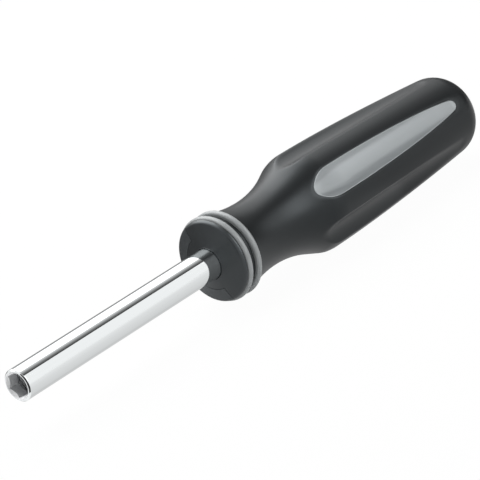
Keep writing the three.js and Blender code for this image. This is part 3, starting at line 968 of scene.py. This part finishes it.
# The floor, grip and shade cards are painted shadow of the floor, seen only in reflections: grey sheets,
# darker close under the tool.
FLOOR_SHADOW_CARD_LINES = {"low": (-0.002, CARD_LIFT), "high": (-0.12, 0.003)}
SHADE_CARD_LINES = {"low": (-0.002, CARD_LIFT), "high": (0.012, 2 * CARD_LIFT)}
REAR_CARD_LINES = {"low": (0.032, CARD_LIFT), "high": (0.4, 0.148)}
LONG_CARDS = {
    "rear_card": {"reach": (-0.09, 1.2), **REAR_CARD_LINES, "tones": (0.2, 0.6), "curve": 1},
    "floor_shadow_card": {"reach": (-0.095, 0.06), **FLOOR_SHADOW_CARD_LINES, "tones": (0.6, 0.97), "curve": 0.35},
    "grip_floor_shadow_card": {"reach": (0.06, 1.2), **FLOOR_SHADOW_CARD_LINES, "tones": (0.5, 0.7), "curve": 0.35},
    "shade_card": {"reach": (-0.095, 0.06), **SHADE_CARD_LINES, "tones": (0.62, 0.72), "curve": 1},
}

# Cards across the line of the tool, and an upright one behind its tip, each of one tone: painted dark
# reflections
CROSS_CARDS = {
    "end_card": {
        "foot": 1.2,
        "top": 1.2,
        "low_side": (-1.0, 1.0),
        "high_side": (-1.0, 1.0),
        "height": 1.0,
        "tone": 0.08,
    },
    "camera_card": {
        "foot": -0.105,
        "top": -0.28,
        "low_side": (-0.035, -0.004),
        "high_side": (-0.035, 0.01),
        "height": 0.2025,
        "tone": 0.05,
    },
}
LEFT_CARD = {"near": (-0.75, -0.1), "far": (-0.3, 0.75), "height": 0.14, "tone": 0.3}


def seen_rays(tree, seen, mirrored):
    """Share for the rays that show the background: camera and clear rays, and mirror rays."""
    path = tree.nodes.new("ShaderNodeLightPath").outputs
    first = math_node(tree, "MAXIMUM", path["Is Camera Ray"], path["Is Transmission Ray"])
    glossy = math_node(tree, "MULTIPLY", path["Is Glossy Ray"], mirrored)
    return math_node(tree, "MAXIMUM", math_node(tree, "MULTIPLY", first, seen), glossy)


def make_world():
    world = bpy.data.worlds.new("studio")
    world.use_nodes = True
    tree = world.node_tree
    background = tree.nodes["Background"]
    background.inputs["Color"].default_value = (1, 1, 1, 1)
    extra = seen_rays(tree, 1 - WORLD_FILL, 1 - WORLD_FILL)
    tree.links.new(math_node(tree, "ADD", extra, WORLD_FILL), background.inputs["Strength"])
    bpy.context.scene.world = world


def flat_sheet(name, corners, material):
    mesh = bpy.data.meshes.new(name)
    mesh.from_pydata([tuple(corner) for corner in corners], [], [(0, 1, 2, 3)])
    mesh.materials.append(material)
    sheet = bpy.data.objects.new(name, mesh)
    bpy.context.scene.collection.objects.link(sheet)
    return sheet


def make_floor():
    material = bpy.data.materials.new("pale_floor")
    material.use_nodes = True
    tree = material.node_tree
    shader = tree.nodes["Principled BSDF"]
    shader.inputs["Base Color"].default_value = (*FLOOR_COLOR, 1)
    shader.inputs["Roughness"].default_value = FLOOR_ROUGHNESS
    shader.inputs["Specular IOR Level"].default_value = 0
    white = tree.nodes.new("ShaderNodeEmission")
    mix = tree.nodes.new("ShaderNodeMixShader")
    tree.links.new(seen_rays(tree, FLOOR_WHITENING, FLOOR_MIRROR_WHITENING), mix.inputs["Fac"])
    tree.links.new(shader.outputs["BSDF"], mix.inputs[1])
    tree.links.new(white.outputs["Emission"], mix.inputs[2])
    tree.links.new(mix.outputs["Shader"], tree.nodes["Material Output"].inputs["Surface"])
    h = FLOOR_HALF
    z = CAD_BOX[0].z
    flat_sheet("floor", [(-h, -h, z), (h, -h, z), (h, h, z), (-h, h, z)], material)


def make_lamp(name, middle, direction, size, radiance):
    """Rectangular lamp of a given radiance that faces back along a direction."""
    light = bpy.data.lights.new(name, "AREA")
    light.shape = "RECTANGLE"
    light.size, light.size_y = size
    light.energy = radiance * math.pi * light.size * light.size_y
    lamp = bpy.data.objects.new(name, light)
    lamp.location = middle
    lamp.rotation_euler = direction.to_track_quat("Z", "Y").to_euler()
    lamp.visible_camera = False
    bpy.context.scene.collection.objects.link(lamp)


def out_from_axis(angle, distance):
    """Place beside the tool's axis, at an angle round it."""
    return Vector((0, distance * math.sin(angle), AXIS_HEIGHT + distance * math.cos(angle)))


def make_softbox(name, angles, distance, reach, radiance):
    """Soft panel beside the tool, parallel to its axis and facing it."""
    start, end = [math.radians(angle) for angle in angles]
    middle = out_from_axis((start + end) / 2, distance)
    middle.x = sum(reach) / 2
    direction = out_from_axis((start + end) / 2, 1) - Vector((0, 0, AXIS_HEIGHT))
    width = 2 * distance * math.tan((end - start) / 2)
    make_lamp(name, middle, direction, (reach[1] - reach[0], width), radiance)


def make_card(name, corners, tones, curve):
    """Glowing sheet that only mirror rays see: a painted reflection of dark surroundings or of the floor's
    shade. Its tone runs from its lower to its upper edge.
    """
    material = bpy.data.materials.new(name)
    material.use_nodes = True
    tree = material.node_tree
    tree.nodes.remove(tree.nodes["Principled BSDF"])
    height = tree.nodes.new("ShaderNodeSeparateXYZ")
    tree.links.new(tree.nodes.new("ShaderNodeTexCoord").outputs["Generated"], height.inputs["Vector"])
    curved = math_node(tree, "POWER", height.outputs["Z"], curve)
    tone = math_node(tree, "MULTIPLY", curved, tones[1] - tones[0])
    glow = tree.nodes.new("ShaderNodeEmission")
    tree.links.new(math_node(tree, "ADD", tone, tones[0]), glow.inputs["Strength"])
    tree.links.new(glow.outputs["Emission"], tree.nodes["Material Output"].inputs["Surface"])
    card = flat_sheet(name, corners, material)
    card.visible_camera = False
    card.visible_diffuse = False
    card.visible_shadow = False


def make_long_card(name, reach, low, high, tones, curve):
    """Card along the tool between two lines of (y, z)."""
    start, end = reach
    make_card(name, [(start, *low), (end, *low), (end, *high), (start, *high)], tones, curve)


def make_cross_card(name, foot, top, low_side, high_side, height, tone):
    """Card across the line of the tool, from its foot on the floor to its top edge."""
    low = CAD_BOX[0].z + CARD_LIFT
    corners = [(foot, side, low) for side in low_side] + [(top, side, height) for side in high_side[::-1]]
    make_card(name, corners, (tone, tone), 1)


def make_side_card(name, near, far, height, tone):
    """Upright card between two places on the floor."""
    low = CAD_BOX[0].z + CARD_LIFT
    make_card(name, [(*near, low), (*far, low), (*far, height), (*near, height)], (tone, tone), 1)


def make_cards():
    low, high = [out_from_axis(angle, FRONT_CARD_DISTANCE).yz for angle in FRONT_CARD_ANGLES]
    make_long_card("front_card", low=low, high=high, **FRONT_CARD)
    for name, values in LONG_CARDS.items():
        make_long_card(name, **values)
    for name, values in CROSS_CARDS.items():
        make_cross_card(name, **values)
    make_side_card("left_card", **LEFT_CARD)


make_camera()
make_world()
make_floor()
for lamp_name, lamp_values in LAMPS.items():
    make_softbox(lamp_name, **lamp_values)
make_cards()
bpy.context.scene.view_settings.view_transform = "Standard"
